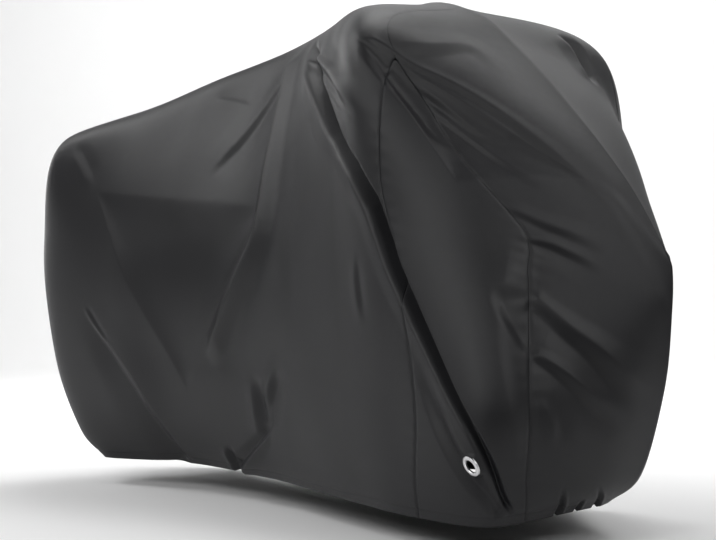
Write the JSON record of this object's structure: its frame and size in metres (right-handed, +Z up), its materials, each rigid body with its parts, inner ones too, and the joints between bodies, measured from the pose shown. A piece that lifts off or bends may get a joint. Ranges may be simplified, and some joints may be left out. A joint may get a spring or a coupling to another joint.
{
  "type": "bicycle cover",
  "caption": "Fitted cloth bicycle cover in its draped shape, open underneath, with long folds from the handlebar and saddle and a metal eyelet low at the front corner.",
  "frame": {"origin": "under the top of the cover, on its middle plane, where the bars carry it", "axes": "+X to the front of the bicycle, -Y to its near side, +Z up"},
  "size_m": [1.9374, 0.8396, 1.1259],
  "materials": {
    "cloth_side_near": "coated polyester, near black with a soft satin sheen",
    "cloth_wedge": "coated polyester, near black with a soft satin sheen",
    "cloth_front": "coated polyester, near black with a soft satin sheen",
    "cloth_side_far": "coated polyester, near black with a soft satin sheen",
    "eyelet_metal": "bright plated metal"
  },
  "bodies": {
    "root": {"side_panel_near": "cloth_side_near", "wedge_panel_near": "cloth_wedge", "front_panel": "cloth_front", "side_panel_far": "cloth_side_far", "eyelet_near": "eyelet_metal"}
  },
  "joints": []
}
